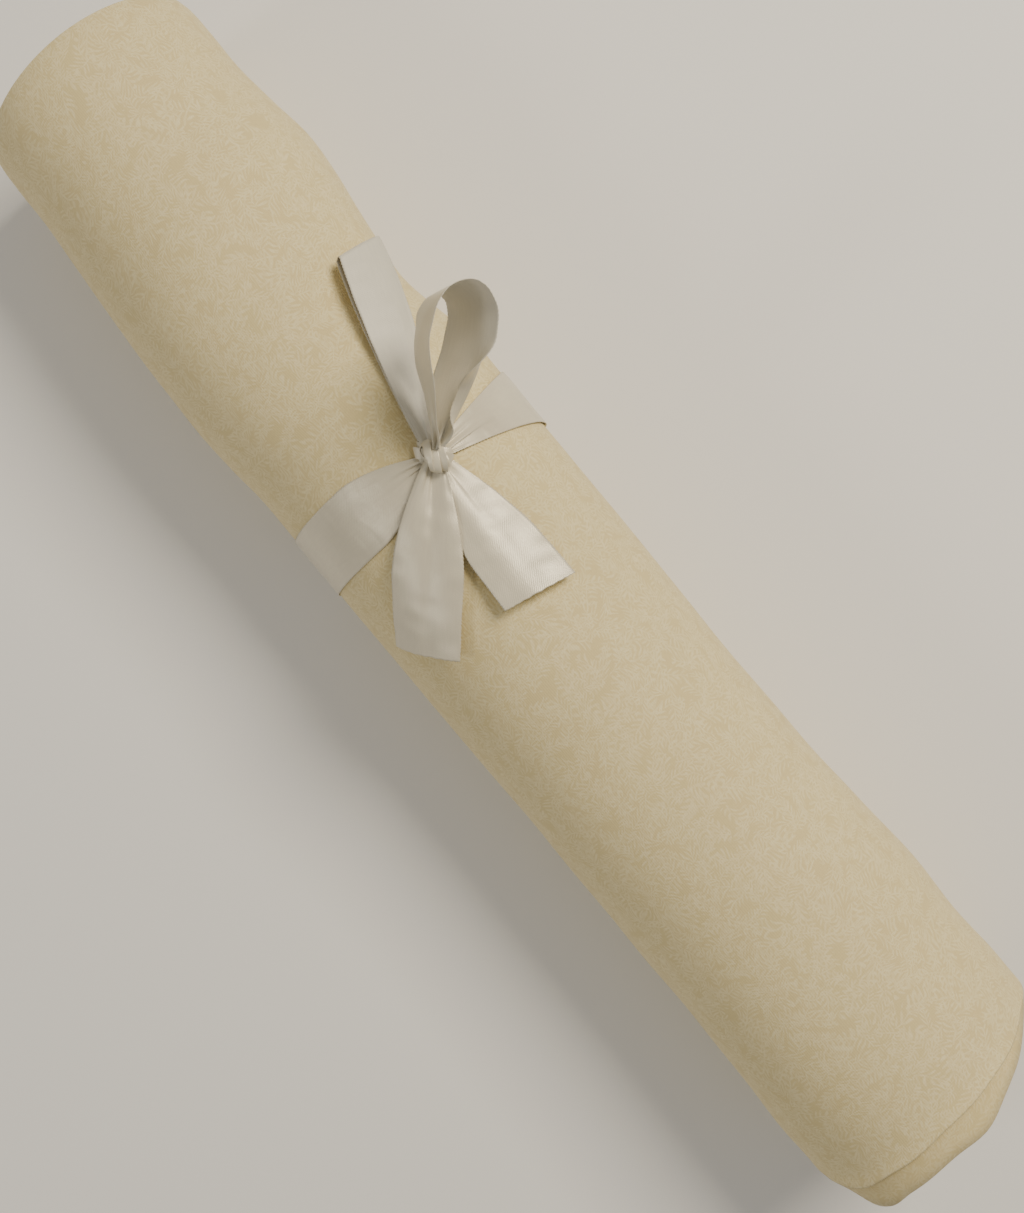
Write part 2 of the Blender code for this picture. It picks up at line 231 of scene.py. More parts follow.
def sprigs(tree, place, cell, shift):
    """Mask of one layer of sprigs, 1 on a leaf or a stem, from a place in millimetres.

    Along the stem is u and across it v. A leaf's middle line is where u less the slope times the
    size of v is a multiple of the leaf pitch, and its half width is a sine over its length.
    """
    moved = vector_maths(tree, "ADD", place, (shift, 2.3 * shift, 0.0))
    cells = node(tree, "TexVoronoi", {"Vector": moved, "Scale": 1.0 / cell}, voronoi_dimensions="2D")
    local = vector_maths(tree, "SUBTRACT", moved, cells.outputs["Position"])
    chance = node(tree, "SeparateColor", {"Color": cells.outputs["Color"]})
    angle = maths(tree, "MULTIPLY", chance.outputs["Red"], TURN)
    turned = node(tree, "VectorRotate", {"Vector": local, "Angle": angle}, rotation_type="Z_AXIS")
    axes = node(tree, "SeparateXYZ", {"Vector": turned.outputs[0]})
    aside = maths(tree, "ABSOLUTE", axes.outputs["Y"])
    leaned = maths(tree, "MULTIPLY_ADD", aside, -LEAF_SLOPE, axes.outputs["X"])
    off_leaf = maths(tree, "PINGPONG", leaned, LEAF_PITCH / 2.0)
    along_leaf = maths(tree, "MULTIPLY", aside, math.pi / LEAF_REACH)
    half = maths(tree, "MULTIPLY", maths(tree, "SINE", along_leaf), LEAF_HALF_WIDTH)
    inside = maths(tree, "SUBTRACT", half, off_leaf)
    leaf = node(tree, "MapRange", {"Value": inside, "From Min": -0.22, "From Max": 0.16})
    short = node(tree, "MapRange", {"Value": aside, "From Min": LEAF_REACH, "From Max": 0.9 * LEAF_REACH})
    leaf = maths(tree, "MULTIPLY", leaf.outputs[0], short.outputs[0])
    stem = node(tree, "MapRange", {"Value": aside, "From Min": 0.42, "From Max": 0.18})
    return maths(tree, "MAXIMUM", leaf, stem.outputs[0])


print("leaf pitch", LEAF_PITCH, "mm")


# %% Quilting cotton
def cotton(name, ground, leaf, print_weight):
    """Plain-weave cotton. The print is strongest where a noise is high, and never quite gone."""
    material, tree, shader = new_material(name)
    place = place_on_cloth(tree)
    drift = flat_noise(tree, place, 0.07, 1.0)["Color"]
    drift = vector_maths(tree, "SUBTRACT", drift, (0.5, 0.5, 0.5))
    drift = vector_maths(tree, "SCALE", drift, 9.0)
    bent = vector_maths(tree, "ADD", place, drift)
    first = sprigs(tree, bent, SPRIG_CELL, 0.0)
    second = sprigs(tree, bent, 0.87 * SPRIG_CELL, 31.7)
    patchy = flat_noise(tree, place, 0.35, 2.0)["Fac"]
    patchy = node(tree, "MapRange", {"Value": patchy, "From Min": 0.3, "From Max": 0.62,
                                     "To Min": 0.4 * print_weight, "To Max": print_weight})
    ink = maths(tree, "MULTIPLY", maths(tree, "MAXIMUM", first, second), patchy.outputs[0])
    printed = node(tree, "Mix", {0: ink, 6: linear(ground), 7: linear(leaf)}, data_type="RGBA")
    tone = flat_noise(tree, place, 0.02, 3.0)["Fac"]
    fleck = flat_noise(tree, place, 0.9, 3.0)["Fac"]
    shade_colour(tree, shader, printed.outputs[2], tone, fleck)
    # threads are 0.3 mm apart; drawn at 0.9 mm, or nothing of them would show
    thread = {"Vector": place, "Scale": 0.35, "Distortion": 0.6, "Detail": 1.0}
    warp, weft = (node(tree, "TexWave", thread, bands_direction=way).outputs["Fac"] for way in "XY")
    weave = maths(tree, "MULTIPLY_ADD", fleck, 2.0, maths(tree, "ADD", warp, weft))
    add_bump(tree, shader, weave, 0.12, 0.0003)
    set_inputs(shader, {"Roughness": 0.9, "Sheen Weight": 0.15, "Sheen Roughness": 0.5,
                        "Specular IOR Level": 0.25})
    return material


cotton_print = cotton("printed_quilting_cotton", "#DCCA95", "#F1E4B7", 0.68)
cotton_wrong = cotton("cotton_wrong_side", "#DAC791", "#EDDFB2", 0.55)
print("cotton:", cotton_print.name, cotton_wrong.name)


# %% [markdown]
# Satin ribbon is polyester: long floats of warp on its face give it a soft gloss that stretches
# along the ribbon, and its back, where the weft shows, is matt and a little greyer. Fine ribs run
# across it on a slant.

# %% Satin
def satin(name, colour, roughness, gloss, ribs):
    """One side of a satin ribbon: gloss is how metallic it looks, ribs how strong its relief is."""
    material, tree, shader = new_material(name)
    place = place_on_cloth(tree)
    stretched = vector_maths(tree, "MULTIPLY", place, (1.0, 0.12, 1.0))
    streak = flat_noise(tree, stretched, 1.1, 3.0)["Fac"]
    cloud = flat_noise(tree, place, 0.06, 2.0)["Fac"]
    shade_colour(tree, shader, linear(colour)[:3], streak, cloud)
    # the ribs are 0.25 mm apart; drawn at 0.7 mm, or nothing of them would show
    rib = node(tree, "TexWave", {"Vector": place, "Scale": 0.62, "Distortion": 1.5, "Detail": 2.0},
               bands_direction="DIAGONAL")
    height = maths(tree, "MULTIPLY_ADD", streak, 1.4, rib.outputs["Fac"])
    floats = flat_noise(tree, place, 1.9, 1.0)["Fac"]
    height = maths(tree, "MULTIPLY_ADD", floats, 1.6, height)
    add_bump(tree, shader, height, ribs, 0.0002)
    set_inputs(shader, {"Roughness": roughness, "Metallic": gloss, "Anisotropic": 0.45,
                        "Specular IOR Level": 0.5 + 1.3 * gloss, "Sheen Weight": 0.1})
    tangent = node(tree, "Tangent", direction_type="UV_MAP", uv_map="cloth_map")
    tree.links.new(tangent.outputs["Tangent"], shader.inputs["Tangent"])
    return material


satin_face = satin("satin_ribbon_face", "#D8D0B9", 0.39, 0.20, 0.15)
satin_back = satin("satin_ribbon_back", "#D6D1C1", 0.52, 0.06, 0.18)
print("satin:", satin_face.name, satin_back.name)

# %% [markdown]
# ## Sheets
# Cloth is thin, so each piece is a closed shell between two grids of points, one for each side,
# joined along the rims. The map in metres goes with the points, so that print and weave follow
# the cloth.


# %% A closed sheet between two grids
def smooth_step(t):
    """Ease from 0 to 1 with level ends: 3 t squared less 2 t cubed."""
    t = np.clip(t, 0.0, 1.0)
    return t * t * (3.0 - 2.0 * t)


def smooth_through(stations, x):
    """Curve through (place, value) stations whose slope at each is its neighbours' chord."""
    at, value = np.array(stations, float).T
    slope = np.gradient(value, at)
    i = np.clip(np.searchsorted(at, x) - 1, 0, len(at) - 2)
    step = at[i + 1] - at[i]
    t = np.clip((x - at[i]) / step, 0.0, 1.0)
    bend = step * (slope[i] * t * (1.0 - t) ** 2 - slope[i + 1] * t * t * (1.0 - t))
    return value[i] * (1.0 + 2.0 * t) * (1.0 - t) ** 2 + value[i + 1] * t * t * (3.0 - 2.0 * t) + bend


def quads(rows, columns, wrap=False):
    """Corner numbers of a grid's quads; wrap joins the last column to the first."""
    number = np.arange(rows * columns).reshape(rows, columns)
    if wrap:
        number = np.hstack([number, number[:, :1]])
    return np.stack([number[:-1, :-1], number[1:, :-1], number[1:, 1:], number[:-1, 1:]],
                    axis=-1).reshape(-1, 4)


def make_mesh(name, points, faces, cloth_map, which, materials):
    """Smooth mesh from arrays, turned outwards: a solid whose volume is negative is inside out."""
    corner = points[faces]
    fan = np.cross(corner[:, 1] - corner[:, 0], corner[:, 2] - corner[:, 0])
    fan += np.cross(corner[:, 2] - corner[:, 0], corner[:, 3] - corner[:, 0])
    if (fan * corner.mean(axis=1)).sum() < 0.0:
        faces = faces[:, ::-1]
    mesh = bpy.data.meshes.new(name)
    mesh.from_pydata(points.tolist(), [], faces.tolist())
    uv = mesh.uv_layers.new(name="cloth_map")
    uv.data.foreach_set("uv", cloth_map[faces.ravel()].astype(np.float32).ravel())
    mesh.polygons.foreach_set("material_index", which.astype(np.int32))
    mesh.polygons.foreach_set("use_smooth", np.ones(len(faces), bool))
    for material in materials:
        mesh.materials.append(material)
    mesh.update()
    piece = bpy.data.objects.new(name, mesh)
    bpy.context.scene.collection.objects.link(piece)
    print(f"{name}: {2 * len(faces)} triangles")
    return piece


def sheet_between(name, right, wrong, cloth_map, materials):
    """Closed sheet from its right side's and wrong side's grids, with a rim round all four edges."""
    rows, columns = right.shape[:2]
    size = rows * columns
    face = quads(rows, columns)
    number = np.arange(size).reshape(rows, columns)
    rim = np.concatenate([number[0, ::-1], number[1:, 0], number[-1, 1:], number[-2:0:-1, -1]])
    around = np.stack([rim, np.roll(rim, -1)], axis=-1)
    wall = np.hstack([around[:, ::-1], around + size])
    faces = np.vstack([face, face[:, ::-1] + size, wall])
    which = np.concatenate([np.zeros(len(face)), np.ones(len(face)), np.zeros(len(wall))])
    points = np.concatenate([right.reshape(-1, 3), wrong.reshape(-1, 3)])
    both = np.tile(cloth_map.reshape(-1, 2), (2, 1))
    return make_mesh(name, points, faces, both, which, materials)


def unit(vectors):
    """Vectors of length one."""
    return vectors / np.maximum(np.linalg.norm(vectors, axis=-1, keepdims=True), 1e-12)


def ribbon_sheet(name, middle, cloth_map, thickness, materials):
    """Closed ribbon about a grid of points: each side is half the thickness off, along the normal."""
    normal = unit(np.cross(np.gradient(middle, axis=1), np.gradient(middle, axis=0)))
    half = normal * thickness / 2.0
    return sheet_between(name, middle + half, middle - half, cloth_map, materials)


# %% [markdown]
# ## The roll
# Cloth rolled without a core is a spiral: each turn lies on the one before, and the radius falls
# by one pitch a turn. The length is doubled, so a turn has two plies, which part at the +X end in
# two selvages and join at the -X end in a fold. The firmness varies along it: it is slack and
# narrow at the fold end, drawn in beside the bow and flared at the selvages.

# %% The roll's outline
CLOTH_PLY = 0.30 * MM
PLY_GAP = 0.10 * MM
TURN_PITCH = 0.95 * MM
FREE_EDGE = math.radians(234.0)        # the cut end, from +Z turning towards +Y
FLOOR_CLEAR = 0.8 * MM                 # the underside clears the ribbon along the tie's travel
FLOOR_RAMP = 15.0 * MM

# (x, change of radius, sideways lean), mm
OUTLINE = [
    (-281, -6.4, 0.3), (-274, -4.1, 0.3), (-262, -3.1, 0.3), (-240, -2.8, 0.4), (-222, -1.1, 0.8),
    (-202, 1.1, 1.0), (-183, 0.8, -0.4), (-167, 0.1, -2.0), (-150, -0.7, -3.3), (-133, -1.6, -4.4),
    (-116, -0.9, -2.9), (-98, 0.0, -0.3), (-78, 0.0, 0.0), (-61, -0.15, 0.0), (-44, 0.0, 0.0),
    (0, -0.1, 0.0), (42, -0.4, 0.1), (72, -0.9, 0.2), (100, -0.6, 0.4), (128, -0.2, 0.9),
    (155, 0.8, 1.5), (185, 1.8, 2.4), (215, 1.8, 2.3), (240, 2.8, 2.7), (256, 2.4, 2.8),
    (268, 1.8, 2.2), (281, 1.2, 1.8),
]
SWELL = [(x * MM, swell * MM) for x, swell, lean in OUTLINE]
LEAN = [(x * MM, lean * MM) for x, swell, lean in OUTLINE]


def floor_rise(x):
    """Height of the roll's flat underside at x."""
    half = RIBBON_WIDTH / 2.0 + 0.3 * MM
    into = smooth_step((x - TIE_X - TIE_TRAVEL[0] + half + FLOOR_RAMP) / FLOOR_RAMP)
    out = smooth_step((TIE_X + TIE_TRAVEL[1] + half + FLOOR_RAMP - x) / FLOOR_RAMP)
    return FLOOR_CLEAR * np.minimum(into, out)


def slack(x, angle):
    """Small soft dips of the cloth, all inwards: three slow waves, weaker where the tie slides."""
    waves = np.sin(TURN * (x / 0.092 + 0.22 * np.sin(angle + 0.6)))
    waves = waves + np.sin(TURN * (x / 0.151 - 0.35 * np.sin(angle - 1.1)) + 2.0)
    waves = waves + 0.6 * np.sin(TURN * x / 0.047 + 2.0 * np.sin(2.0 * angle) + 0.7)
    by_tie = smooth_step((np.abs(x - TIE_X - 55.0 * MM) - 100.0 * MM) / (40.0 * MM))
    return (0.06 + 0.14 * by_tie) * MM * (waves - 2.6)


def roll_surface(x, angle, depth):
    """Point of the roll at x, an angle from +Z towards +Y and a depth below its outside.

    The swell and lean of the outside fade to nothing at the middle of the roll, and a soft
    maximum of the height and the floor keeps the underside flat.
    """
    share = 1.0 - depth / ROLL_RADIUS
    radius = ROLL_RADIUS - depth + share * (smooth_through(SWELL, x) + slack(x, angle))
    y = radius * np.sin(angle) + share * smooth_through(LEAN, x)
    z = AXIS_HEIGHT + radius * np.cos(angle)
    floor = floor_rise(x) + depth
    above = z - floor
    z = floor + 0.5 * (above + np.sqrt(above ** 2 + (0.5 * MM) ** 2))
    return np.stack(np.broadcast_arrays(x, y, z), axis=-1)


top = roll_surface(np.array(0.0), np.array(0.0), np.array(0.0))
print("top of the roll", top.round(4))

# %% [markdown]
# The last turn's outer ply is what is mostly seen. It starts at the cut end low on the -Y side,
# goes over the top and dives under its own start. At the fold end it curls round into the under
# ply, and its selvage at the other end is a little askew.

# %% The last turn: outer ply and under ply
FOLD_RADIUS = 0.35 * MM
TURN_STEPS = 240
ALONG = np.linspace(1.0, 0.0, 122)                             # shares of the length, from the selvage
NEAR_EDGE = np.array((0.0, 0.0015, 0.003, 0.0045, 0.006))      # closer steps beside the selvage


def turn_angles():
    """Angles round one turn from the cut end, with the winding's progress from 0 to 1."""
    share = np.linspace(0.0, 1.0, TURN_STEPS + 1)
    return FREE_EDGE + TURN * share, share


# (angle from +Z towards +Y in degrees, distance back along X in mm) of the two selvages
OUTER_SELVAGE = [(-180, -4.0), (-110, -9.0), (-80, -7.5), (-62, -3.4), (-49, -1.2), (-34, -2.8),
                 (-18, -4.2), (-6, -6.1), (7, -7.8), (17, -8.8), (33, -10.0), (55, -12.7),
                 (90, -14.0), (130, -8.0), (180, -4.0)]
UNDER_SELVAGE = [(-180, -8.0), (-110, -14.5), (-76, -14.0), (-63, -10.5), (-55, -3.4), (-48, -1.2),
                 (-33, -3.6), (-9, -6.8), (8, -8.0), (22, -12.4), (33, -15.6), (53, -21.8), (72, -25.0),
                 (100, -24.0), (140, -12.0), (180, -8.0)]
EDGE_CURL = 1.3 * MM           # the outer selvage stands off the ply below by this much
EDGE_BAND = 9.0 * MM           # and starts to rise this far from it


def selvage(table, angle):
    """Distance of a selvage back along X, with small waves added to the table's curve."""
    degrees = (np.degrees(angle) + 180.0) % 360.0 - 180.0
    return (smooth_through(table, degrees) + 0.22 * np.sin(11.0 * angle) + 0.3 * np.sin(5.0 * angle)) * MM


def fold_back(angle):
    """Distance of the fold from the roll's end: it bulges at the top and is drawn in at the sides."""
    return (0.4 + 2.4 * np.where(np.cos(angle) > 0.0, np.sin(angle) ** 2, 1.0)) * MM


def outer_ply():
    """Outer ply as two grids: straight along X, then half a circle round the fold."""
    angle, share = turn_angles()
    straight = np.concatenate([1.0 - NEAR_EDGE, ALONG[1:]])
    bend = np.linspace(0.0, math.pi, 9)[1:]
    start = OUTER_RIM + selvage(OUTER_SELVAGE, angle)[:, None]
    fold = FOLD_END + fold_back(angle)[:, None] + FOLD_RADIUS
    x = fold + (start - fold) * straight[None, :]
    x_bend = fold - FOLD_RADIUS * np.sin(bend)
    depth_bend = FOLD_RADIUS * (1.0 - np.cos(bend))
    middle_x = np.hstack([x, x_bend])
    half = CLOTH_PLY / 2.0
    middle_depth = half + np.concatenate([0.0 * straight, depth_bend])[None, :]
    facing = np.concatenate([0.0 * straight, bend])[None, :]
    rising = 1.0 - smooth_step((start - middle_x) / EDGE_BAND)
    uneven = np.clip(0.8 + 0.25 * np.sin(5.0 * angle) - 0.45 * np.sin(2.0 * angle), 0.0, 1.5)
    curl = EDGE_CURL * rising ** 2 * (uneven * np.clip(np.cos(angle) * 2.0, 0.0, 1.0))[:, None]
    wound = TURN_PITCH * share[:, None] - curl
    sides = []
    for sign in (1.0, -1.0):
        side_x = middle_x - sign * half * np.sin(facing)
        side_depth = middle_depth - sign * half * np.cos(facing)
        sides.append(roll_surface(side_x, angle[:, None], side_depth + wound))
    run = np.hstack([start - x, start - fold + FOLD_RADIUS * bend[None, :]])
    arc = np.broadcast_to((ROLL_RADIUS * TURN * share)[:, None], run.shape)
    return sides, np.stack([run, arc], axis=-1)


(right, wrong), cloth_map = outer_ply()
outer = sheet_between("cotton_outer_ply", right, wrong, cloth_map, [cotton_print, cotton_wrong])
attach(outer, "roll")
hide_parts("cloth_outer_ply")


def under_ply():
    """Under ply as two grids, its wrong side outwards."""
    angle, share = turn_angles()
    end = SELVAGE_END + selvage(UNDER_SELVAGE, angle)[:, None]
    fold = FOLD_END + fold_back(angle)[:, None] + 1.2 * MM
    x = fold + (end - fold) * ALONG[None, :]
    wound = TURN_PITCH * share[:, None] + CLOTH_PLY + PLY_GAP
    sides = [roll_surface(x, angle[:, None], wound + below) for below in (0.0, CLOTH_PLY)]
    arc = np.broadcast_to((ROLL_RADIUS * TURN * share)[:, None], x.shape)
    return sides, np.stack([end - x, arc], axis=-1)


(right, wrong), cloth_map = under_ply()
under = sheet_between("cotton_under_ply", right, wrong, cloth_map, [cotton_wrong, cotton_print])
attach(under, "roll")
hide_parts("cloth_under_ply")

# %% [markdown]
# Inside the last turn the doubled cloth goes on to the middle. One closed strip is carried along
# the spiral: its section is a long flat U, with two plies, open at the selvages and folded at the
# other end. Turns near the middle are small, so they get fewer steps.

# %% The inner turns
EYE_RADIUS = 3.2 * MM
HIDDEN_STATIONS = np.array((215, 128, 72, -61, -110, -133, -155, -195, -240)) * MM
HIDDEN_SLACK = 0.9 * MM        # the turns lie this much deeper where nothing of them shows


def spiral():
    """Winding angle and depth at each step from the end of the last turn to the eye."""
    turns = (ROLL_RADIUS - TURN_PITCH - EYE_RADIUS) / TURN_PITCH
    fine = np.linspace(0.0, turns, 4000)
    steps_a_turn = 12.0 + 34.0 * (1.0 - TURN_PITCH * (1.0 + fine) / ROLL_RADIUS)
    passed = np.concatenate([[0.0], np.cumsum(np.diff(fine) * steps_a_turn[1:])])
    share = np.interp(np.linspace(0.0, passed[-1], int(passed[-1])), passed, fine)
    return FREE_EDGE + TURN * share, TURN_PITCH * (1.0 + share), share


def fold_and_selvages(angle, depth, share):
    """x of the fold and of both selvages: the turns are a little askew, and the end is domed."""
    wander = 0.7 * MM * np.sin(1.7 * share + 0.4 * np.sin(angle)) + 0.5 * MM * np.sin(0.37 * share + 1.0)
    dome = 2.2 * MM * (1.0 - smooth_step(depth / (7.0 * MM)))
    fold = FOLD_END + 0.9 * MM + dome + 0.35 * wander
    inside = smooth_step(depth / (22.0 * MM))
    outside_reach = selvage(UNDER_SELVAGE, angle) - 1.5 * MM
    untidy = 1.1 * MM * np.sin(0.9 * share) + 0.6 * MM * np.sin(2.3 * share + angle)
    first = SELVAGE_END + (1.0 - inside) * outside_reach + inside * (untidy - 4.0 * MM)
    second = first - 1.5 * MM - 1.2 * MM * np.sin(0.53 * share + 2.0)
    return fold, first, second


def inner_turns():
    """The doubled cloth as a tube of U-shaped sections, with its map and its length.

    A section goes along the upper ply from its selvage, half round the fold and back along the
    lower ply, and then the same way back on the inside of the U.
    """
    angle, depth, share = spiral()
    fold, first, second = fold_and_selvages(angle, depth, share)
    big = CLOTH_PLY + PLY_GAP / 2.0
    small = PLY_GAP / 2.0
    level = np.ones(len(HIDDEN_STATIONS) + 1)
    round_out, round_in = np.linspace(0.0, math.pi, 5), np.linspace(math.pi, 0.0, 3)
    across = np.concatenate([-big * level, -big * np.cos(round_out), big * level,
                             small * level, -small * np.cos(round_in), -small * level])
    stations = np.tile(HIDDEN_STATIONS, (len(angle), 1))
    bends = [fold[:, None] + big - radius * np.sin(turn) for radius, turn in
             ((big, round_out), (small, round_in))]
    x = np.hstack([first[:, None], stations, bends[0], stations[:, ::-1], second[:, None],
                   second[:, None], stations, bends[1], stations[:, ::-1], first[:, None]])
    shown = np.minimum(np.abs(x - fold[:, None]), np.abs(first[:, None] - x)) < 8.0 * MM
    below = depth[:, None] + big + across + HIDDEN_SLACK * ~shown
    points = roll_surface(x, angle[:, None], below)
    squeeze = np.exp((below - ROLL_RADIUS) / (9.0 * MM))
    points[..., 1] *= 1.0 + 0.7 * squeeze
    points[..., 2] = AXIS_HEIGHT + (points[..., 2] - AXIS_HEIGHT) * (1.0 - 0.3 * squeeze)
    length = np.concatenate([[0.0], np.cumsum(np.diff(angle) * (ROLL_RADIUS - depth)[1:])])
    cloth_map = np.stack(np.broadcast_arrays(first[:, None] - x, length[:, None]), axis=-1)
    return points, cloth_map, length[-1]


def tube_faces(rows, columns):
    """Quads of a tube, and quads across its two flat ends."""
    number = np.arange(columns)
    low, high = number[:columns // 2 - 1], number[1:columns // 2]
    end = np.stack([low, high, columns - 1 - high, columns - 1 - low], axis=-1)
    return np.vstack([quads(rows, columns, wrap=True), end, end[:, ::-1] + (rows - 1) * columns])


points, cloth_map, inner_length = inner_turns()
faces = tube_faces(*points.shape[:2])
turns = make_mesh("cotton_inner_turns", points.reshape(-1, 3), faces, cloth_map.reshape(-1, 2),
                  np.zeros(len(faces)), [cotton_wrong])
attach(turns, "roll")
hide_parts("cloth_inner_turns")
print(f"doubled cloth inside the last turn: {inner_length:.2f} m")

# %% [markdown]
# ## The ribbon
# Every stretch of ribbon starts at the knot, which gathers its full width into a bundle of pleats,
# and opens like a fan away from it. So a strip has a half width that grows with the distance
# from the knot, and pleats, waves across the strip, that fade with it. Its woven edges are finely
# toothed and its cut ends a little ragged.

# %% Parts of every strip
RIBBON_THICKNESS = 0.26 * MM
GATHERED_HALF = 2.6 * MM
TOOTH_PITCH = 1.5 * MM
TOOTH_DEPTH = 0.35 * MM
RAGGED_DEPTH = 0.35 * MM
ALONG_STEP = 0.5 * MM
PLEAT_LEAN = 1.3


def half_width(distance, reach):
    """Half the ribbon's width at a distance from the knot."""
    full = RIBBON_WIDTH / 2.0 - TOOTH_DEPTH
    left = np.clip(1.0 - distance / reach, 0.0, 1.0)
    return GATHERED_HALF + (full - GATHERED_HALF) * (1.0 - left ** 1.6)


def across_strip():
    """Row of places across a strip from -1 to 1, closer together at the edges."""
    even = np.linspace(-1.0, 1.0, 29)[None, :]
    return np.sin(even * math.pi / 2.0) * 0.35 + even * 0.65


def toothed(side, distance, half):
    """The outermost column of places, pushed in and out by a triangle wave along the edge."""
    tooth = 2.0 * np.abs(distance / TOOTH_PITCH % 1.0 - 0.5) * TOOTH_DEPTH
    return side * (1.0 + (np.abs(side) > 0.999) * tooth / half)


def pleats(distance, side, counts, depths, fades, phase):
    """Height of the gathers: waves across the strip, each fading over its own distance."""
    total = 0.0
    for i, (count, depth, fade) in enumerate(zip(counts, depths, fades)):
        wave = np.sin(math.pi * count * side + phase + 1.7 * i)
        total = total + depth * np.exp(-np.maximum(distance, 0.0) / fade) * wave
    return total


def leaning(side, half, gather):
    """Offset across a strip: its pleats lean over, so that they lie on each other like knife pleats."""
    return side * half + PLEAT_LEAN * gather * (1.0 - side ** 2)


def wrinkles(distance, side, depth, phase):
    """Faint creases from handling: two slow waves on a slant, in patches."""
    one = np.sin(TURN * distance / (17.0 * MM) + 2.1 * side + phase) * np.cos(1.3 * side + 2.0 * phase)
    two = np.sin(TURN * distance / (9.3 * MM) - 3.4 * side + 2.0 * phase)
    patch = 0.5 + 0.5 * np.sin(TURN * distance / (31.0 * MM) + 3.0 * side + phase)
    return depth * (one + 0.6 * two * patch)


def ribbon_map(side, run):
    """The ribbon's own map in metres: across it from its middle line, and along it."""
    return np.stack(np.broadcast_arrays(side * RIBBON_WIDTH / 2.0, run), axis=-1)


def over_roll(x, arc, height):
    """Point at x, an arc round the roll from its top line towards +Y, and a height over it."""
    angle = arc / ROLL_RADIUS
    radius = ROLL_RADIUS + height
    return np.stack([x, radius * np.sin(angle), AXIS_HEIGHT + radius * np.cos(angle)], axis=-1)


def from_knot(heading, distance, offset, height):
    """Point of a strip that lies over the roll: distance and offset are in the unrolled surface."""
    x = TIE_X + math.cos(heading) * distance - math.sin(heading) * offset
    arc = KNOT_ARC + math.sin(heading) * distance + math.cos(heading) * offset
    return over_roll(x, arc, height)


def finish_ribbon(cad_node):
    """Hide the CAD solid that this stretch of ribbon stands in for."""
    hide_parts(cad_node)


# %% [markdown]
# The band goes once round the roll. It opens quickly on the -Y side of the knot and slowly on the
# other, where it is pulled harder.

# %% The band
BAND_HEIGHT = 0.32 * MM        # middle of the ribbon over the cloth
BAND_LIFT = 1.4 * MM           # extra height beside the knot
BAND_FLOOR = 0.25 * MM         # least height of its middle over the table
KNOT_REACH = 3.0 * MM          # from the knot's middle to each end of the band


def band():
    """Band as a grid: the angle runs round the roll, the side across the ribbon."""
    reach = KNOT_REACH / ROLL_RADIUS
    angle = np.linspace(KNOT_ANGLE + reach, KNOT_ANGLE + TURN - reach, 680)[:, None]
    side = across_strip()
    far = (angle - angle[0]) * ROLL_RADIUS
    near = (angle[-1] - angle) * ROLL_RADIUS
    half = np.minimum(half_width(far, 78.0 * MM), half_width(near, 34.0 * MM))
    side = toothed(side, far, half)
    gather = pleats(far, side, (3.1, 1.4), (1.0 * MM, 0.8 * MM), (11.0 * MM, 20.0 * MM), 0.4)
    gather = gather + pleats(near, side, (3.4, 1.7), (1.0 * MM, 0.9 * MM), (8.0 * MM, 15.0 * MM), 2.0)
    height = BAND_HEIGHT + np.maximum(gather + 0.9 * np.abs(gather), 0.0)
    height = height + np.maximum(wrinkles(far, side, 0.16 * MM, 0.8), 0.0)
    lift = BAND_LIFT * (np.exp(-far / (6.0 * MM)) + np.exp(-near / (6.0 * MM)))
    radius = ROLL_RADIUS + height + lift
    y = radius * np.sin(angle)
    above = AXIS_HEIGHT + radius * np.cos(angle) - BAND_FLOOR
    z = BAND_FLOOR + 0.5 * (above + np.sqrt(above ** 2 + (0.2 * MM) ** 2))
    x = TIE_X + leaning(side, half, gather)
    return np.stack([x, y, z], axis=-1), ribbon_map(side, far), far[-1, 0]


points, cloth_map, length = band()
band_piece = ribbon_sheet("ribbon_band_round_roll", points, cloth_map, RIBBON_THICKNESS,
                          [satin_face, satin_back])
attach(band_piece, "tie")
finish_ribbon("ribbon_band")


# %% [markdown]
# Each tail lies on the cloth, arched a little along its length and across its width, and lifts
# towards its cut end.

# %% The two tails
def tail(heading, length, slant, base, lift, phase, arch, crease_depth):
    """Tail as a grid: distance from the knot by side. Its cut end is on a slant and ragged."""
    distance = np.linspace(-1.0 * MM, length, int(length / ALONG_STEP))[:, None]
    side = across_strip()
    half = half_width(distance, TAIL_SPREAD)
    side = toothed(side, distance, half)
    share = np.clip(distance / length, 0.0, 1.0)
    ragged = RAGGED_DEPTH * np.abs(np.sin(side * 9.0 * math.pi)) * smooth_step((share - 0.97) / 0.03)
    run = distance * (1.0 + side * half * math.tan(slant) / length) - ragged
    gather = pleats(distance, side, (3.2, 1.3), (0.9 * MM, 1.1 * MM), (8.0 * MM, 24.0 * MM), phase)
    from_bundle = 2.6 * MM * np.exp(-np.maximum(distance, 0.0) / (6.0 * MM))
    bow = arch * (1.0 - side ** 2) * smooth_step(share / 0.5)
    crease = crease_depth * np.exp(-((side - 0.12) / 0.22) ** 2)
    crease = crease * smooth_step(share / 0.2) * (1.0 - 0.6 * share)
    curl = 1.4 * MM * np.maximum(-side - 0.55, 0.0) ** 1.5 * smooth_step(share / 0.3)
    height = base + from_bundle + lift * share ** 2 + bow - crease + curl + gather + 0.5 * np.abs(gather)
    height = height + wrinkles(distance, side, 0.15 * MM, phase)
    return from_knot(heading, run, leaning(side, half, gather), height), ribbon_map(side, run)


def knot_blend(piece):
    """Bake the strip's place in the world into its points."""
    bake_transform(piece)


